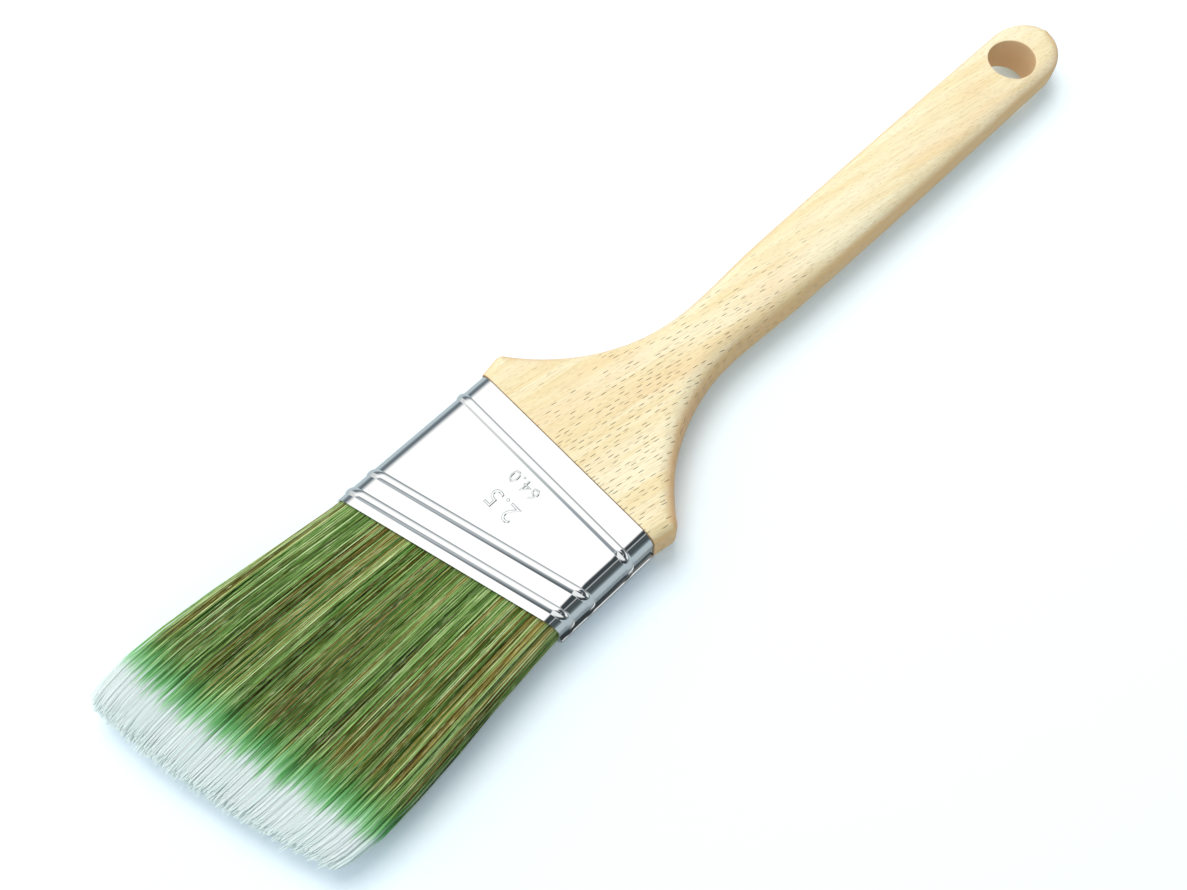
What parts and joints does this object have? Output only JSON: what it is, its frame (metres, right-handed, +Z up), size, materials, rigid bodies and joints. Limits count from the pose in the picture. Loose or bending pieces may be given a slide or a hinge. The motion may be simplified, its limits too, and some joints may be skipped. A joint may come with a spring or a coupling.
{
  "type": "paint brush",
  "caption": "Angled sash paint brush: wooden handle with a hanging hole, bright steel ferrule with raised beads, green filaments with pale tips.",
  "frame": {"origin": "middle of the hanging hole, at mid thickness", "axes": "+X along the centre line from the hole to the bristle tips, +Z up through the thickness, the long corner of the angled mouth on the -Y side; the brush lies flat"},
  "size_m": [0.3198, 0.0708, 0.0166],
  "materials": {
    "handle": "pale beech, smooth satin",
    "ferrule": "bright polished stainless sheet",
    "bristle": "tapered filaments, green and brown with pale tips",
    "epoxy": "cast resin",
    "spacer": "sawn strip",
    "glue": "set adhesive"
  },
  "bodies": {
    "root": {"handle": "handle", "ferrule": "ferrule", "tenon_glue": "glue", "setting_epoxy": "epoxy", "spacer_front": "spacer", "spacer_back": "spacer", "bristles_front": "bristle", "bristles_middle": "bristle", "bristles_back": "bristle"}
  },
  "joints": []
}
